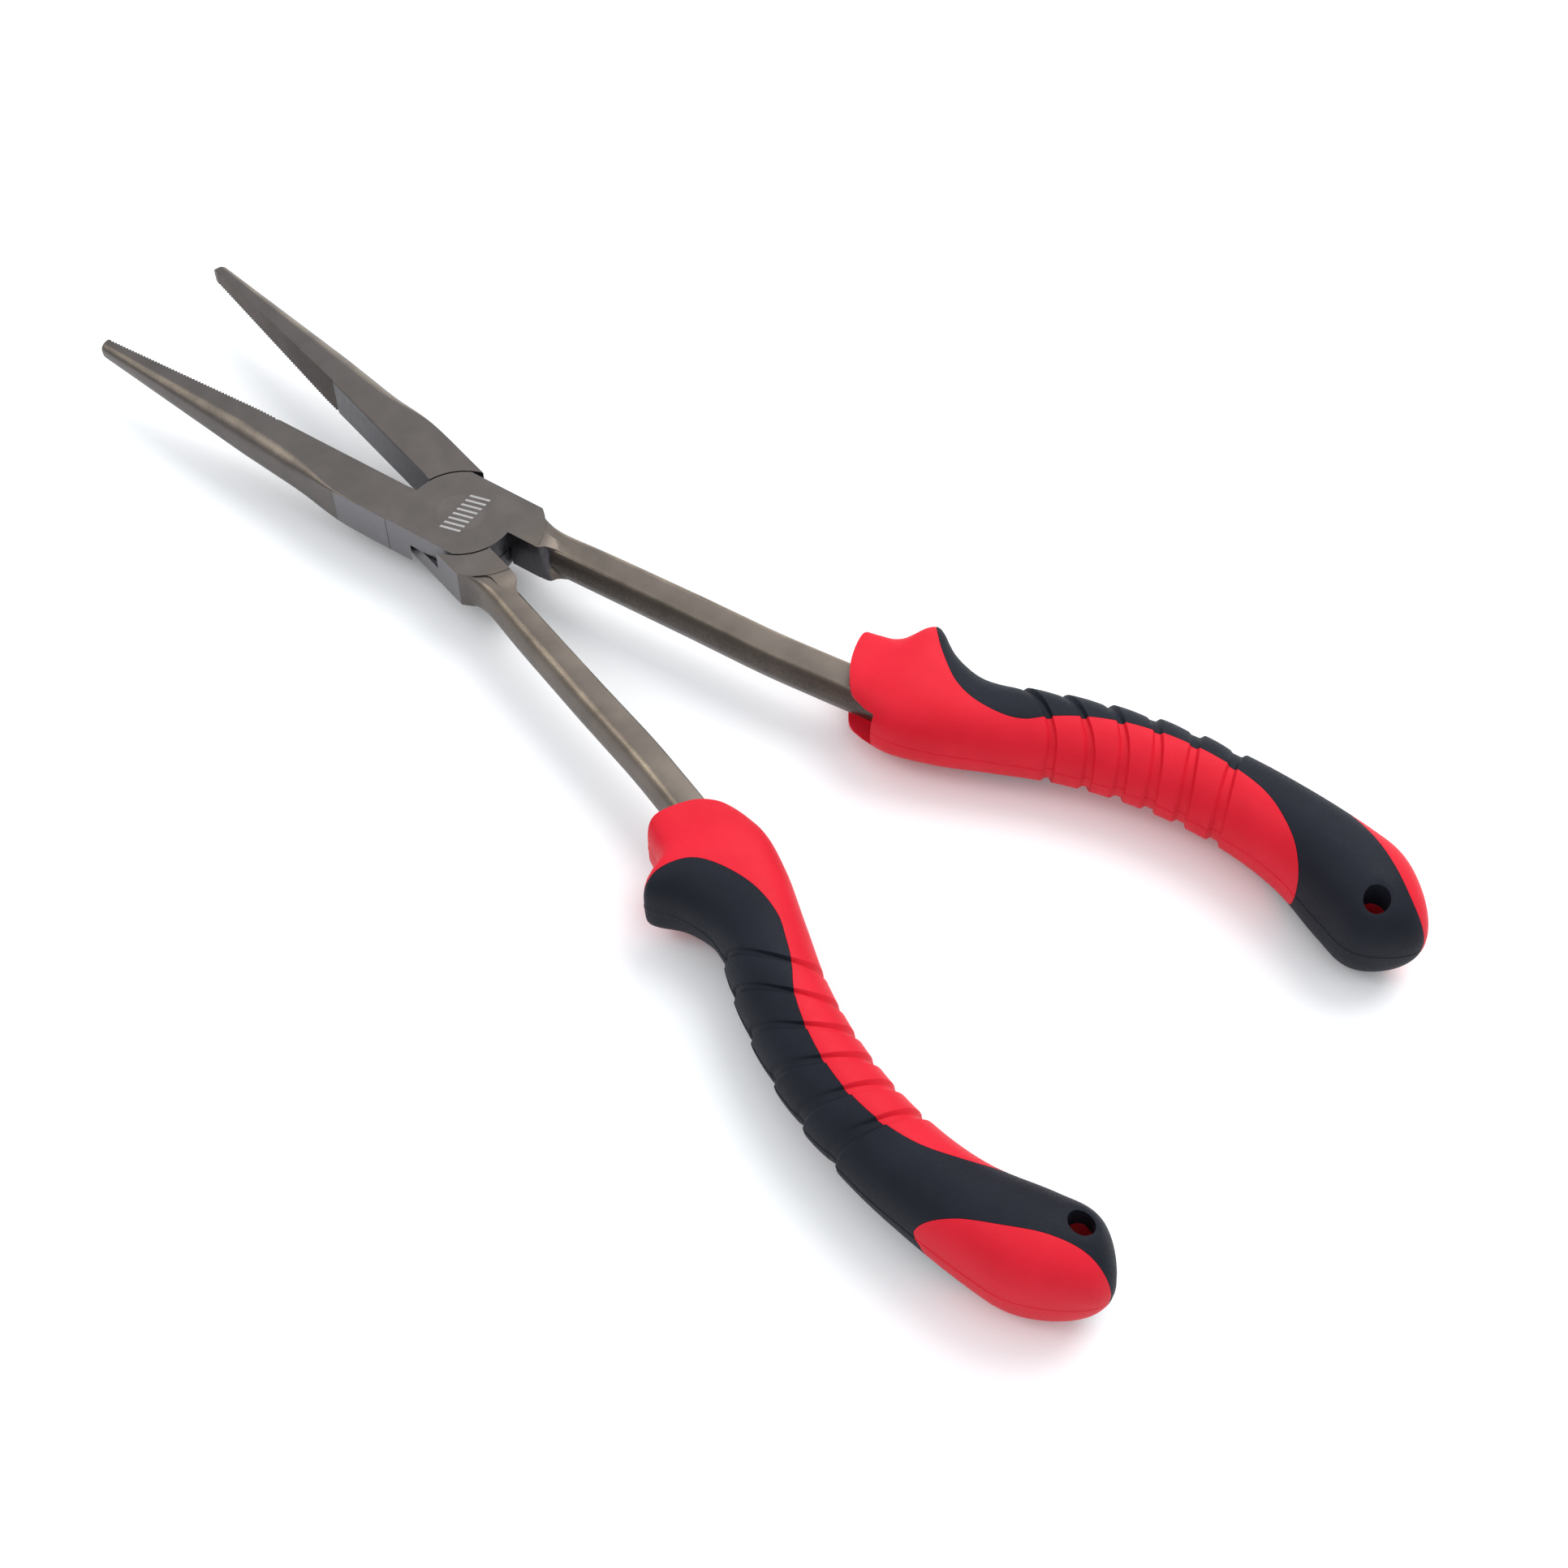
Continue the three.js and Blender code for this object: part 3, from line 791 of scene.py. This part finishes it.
# ---- Pieces --------------------------------------------------------------------------------------
def mark_highlight_and_finish(mesh, lower):
    """Sets a painted highlight band on the round edges of the jaws and bars, "tumbled" on the bars, and
    "oxide" where the dark scale stays on, midway up the bars' inner walls."""
    normals = np.zeros(len(mesh.loops) * 3, np.float32)
    mesh.corner_normals.foreach_get("vector", normals)
    turn = np.array(in_frame(lower).inverted())
    normals = normals.reshape(-1, 3) @ turn[:3, :3].T * MM
    up = np.abs(normals[:, 2])
    corners = np.array([loop.vertex_index for loop in mesh.loops])
    places = np.zeros(len(mesh.vertices) * 3, np.float32)
    mesh.vertices.foreach_get("co", places)
    places = places.reshape(-1, 3)[corners] @ turn[:3, :3].T + turn[:3, 3]
    along = places[:, 0]
    tumbled = smoothstep((along - 13) / 4)
    # Painted highlight: a band on the rounds, picked by how far the normal tilts from upright, and made
    # stronger along the bars and weaker on the jaws.
    highlight_band = smoothstep((up - 0.5) / 0.35) * smoothstep((0.993 - up) / 0.06)
    painted_highlight = 0.6 * smoothstep((-14 - along) / 8) + smoothstep((along - 15) / 4)
    wall = 0.8 * smoothstep((-0.7 - normals[:, 1]) / 0.2) * smoothstep((3.4 - np.abs(places[:, 2])) / 2.4)
    values = {"edge_highlight": highlight_band * painted_highlight, "tumbled": tumbled, "oxide": tumbled * wall}
    for name, value in values.items():
        attribute = mesh.attributes.new(name, "FLOAT", "CORNER")
        attribute.data.foreach_set("value", value.astype(np.float32))


def mark_ground_faces(mesh):
    """Gives the jaw's inner face, the lap faces and the root's inner wall the ground finish, and the
    upright sides of the head the milled one."""
    for face in mesh.polygons:
        x, y, z = face.center
        level = abs(face.normal.z)
        inner_jaw = -TEETH_END < x < -10 and y > -FIT_GAP and level < 0.3
        lap = math.hypot(x, y) < DISC_RADIUS + 0.5 and abs(z) < 1 and level > 0.9
        wall = -11 < x < ROOT_END + 0.5 and abs(y) < 7 and level < 0.3
        side = -24 < x < SHOULDER - 0.05 and abs(y) > 7 and level < 0.3
        face.material_index = 1 if inner_jaw or lap or wall else 2 if side else 0


def make_half(side, lower, materials):
    body = f"{side}_lever"
    metal = forged_half(f"{side}_forged_half")
    paint(metal, materials["forged"], materials["ground"], materials["milled"])
    mark_ground_faces(metal.data)
    finish_piece(metal, f"{side}_half", body, lower, 28)
    mark_highlight_and_finish(metal.data, lower)
    lines = LOWER_LINES if lower else UPPER_LINES
    core = grip_core(f"{side}_red_core", lines)
    paint(core, materials["red"])
    finish_piece(core, f"{side}_grip_core", body, lower)
    skin = overmould(f"{side}_black_overmould", lines)
    paint(skin, materials["black"])
    finish_piece(skin, f"{side}_grip_overmould", body, lower)


def make_rivet(material):
    rivet = rivet_solid("flush_rivet")
    paint(rivet, material)
    finish_piece(rivet, "pivot_rivet", "lower_lever", True)


def make_mark(material):
    """A plain etched panel of slanting bars on the flat of the joint."""
    lift, thickness = 0.002, 0.012
    bars, pitch, width, lean = 8, 1.3, 0.5, 1.0
    left, right = -1.2, 2.8
    points, faces = [], []
    for i in range(bars):
        y = (i - (bars - 1) / 2) * pitch
        outline = [(left, y - lean / 2), (right, y + lean / 2), (right, y + lean / 2 + width),
                   (left, y - lean / 2 + width)]
        first = len(points)
        points += [(px, py, z) for z in (JOINT_HALF + lift, JOINT_HALF + thickness) for px, py in outline]
        faces += [tuple(first + k for k in ring) for ring in
                  ((3, 2, 1, 0), (4, 5, 6, 7), (0, 1, 5, 4), (1, 2, 6, 5), (2, 3, 7, 6), (3, 0, 4, 7))]
    mark = mesh_object("etched_panel", points, faces)
    mark.data.materials.append(material)
    mark.data.transform(in_frame(False))
    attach(mark, "upper_lever")


# ---- Stage ---------------------------------------------------------------------------------------
def add_floor():
    size = 3.0
    grips = [f"{side}_{part}" for side in ("upper", "lower") for part in ("grip_core", "grip_overmould")]
    level = min(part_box(node)[0].z for node in grips)
    corners = [(x * size, y * size, level) for x, y in ((-1, -1), (1, -1), (1, 1), (-1, 1))]
    floor = mesh_object("floor", corners, [(0, 1, 2, 3)])
    floor.data.materials.append(floor_paper())


def add_light(name, place, target, size, power, colour=(1, 1, 1)):
    data = bpy.data.lights.new(name, "AREA")
    data.shape = "DISK"
    data.size = size
    data.energy = power
    data.color = colour
    light = bpy.data.objects.new(name, data)
    light.location = place
    light.rotation_euler = (Vector(target) - Vector(place)).to_track_quat("-Z", "Y").to_euler()
    bpy.context.scene.collection.objects.link(light)


def add_world():
    """Soft studio light: pale above, dark at the horizon, and a bright backdrop behind the object."""
    world = bpy.data.worlds.new("studio")
    world.use_nodes = True
    nodes, links = world.node_tree.nodes, world.node_tree.links
    direction = nodes.new("ShaderNodeTexCoord")
    split = nodes.new("ShaderNodeSeparateXYZ")
    links.new(direction.outputs["Generated"], split.inputs["Vector"])
    height = nodes.new("ShaderNodeMapRange")
    height.inputs["From Min"].default_value = -1
    links.new(split.outputs["Z"], height.inputs["Value"])
    sky = nodes.new("ShaderNodeValToRGB")
    stops = [(0.0, 0.5), (0.49, 0.5), (0.51, 0.2), (0.6, 0.4), (0.75, 0.9), (0.9, 1.2)]
    elements = sky.color_ramp.elements
    while len(elements) < len(stops):
        elements.new(0.5)
    for element, (place, level) in zip(elements, stops):
        element.position = place
        element.color = (0.95 * level, 0.975 * level, level, 1)
    links.new(height.outputs["Result"], sky.inputs["Fac"])
    toward = nodes.new("ShaderNodeVectorMath")
    toward.operation = "DOT_PRODUCT"
    toward.inputs[1].default_value = (-0.6, 0.8, 0)
    links.new(direction.outputs["Generated"], toward.inputs[0])
    behind = nodes.new("ShaderNodeMapRange")
    behind.inputs["From Min"].default_value = 0.35
    behind.inputs["From Max"].default_value = 0.9
    links.new(toward.outputs["Value"], behind.inputs["Value"])
    backdrop = nodes.new("ShaderNodeMix")
    backdrop.data_type = "RGBA"
    backdrop.inputs["B"].default_value = (0.9, 0.95, 1.0, 1)
    links.new(behind.outputs["Result"], backdrop.inputs["Factor"])
    links.new(sky.outputs["Color"], backdrop.inputs["A"])
    links.new(backdrop.outputs["Result"], nodes["Background"].inputs["Color"])
    bpy.context.scene.world = world


def add_lights():
    add_light("key", (0.1, 0.9, 1.2), (0.05, 0, 0), 1.2, 14, (1, 0.985, 0.965))
    add_light("side", (-0.5, -0.68, 1.1), (0.05, 0, 0), 0.45, 2.2)


def add_camera():
    data = bpy.data.cameras.new("camera")
    data.sensor_width = SENSOR
    data.lens = LENS
    camera = bpy.data.objects.new("camera", data)
    camera.location = CAMERA_PLACE
    camera.rotation_euler = (math.radians(CAMERA_TILT), 0, math.radians(CAMERA_TURN))
    bpy.context.scene.collection.objects.link(camera)
    bpy.context.scene.camera = camera


def main():
    materials = {"forged": forged_steel(), "ground": ground_steel(), "milled": milled_steel(),
                 "red": red_plastic(), "black": black_rubber()}
    make_half("upper", False, materials)
    make_half("lower", True, materials)
    make_rivet(rivet_steel())
    make_mark(etched_mark())
    add_floor()
    add_world()
    add_lights()
    add_camera()
    bpy.context.scene.view_settings.view_transform = "Standard"


main()
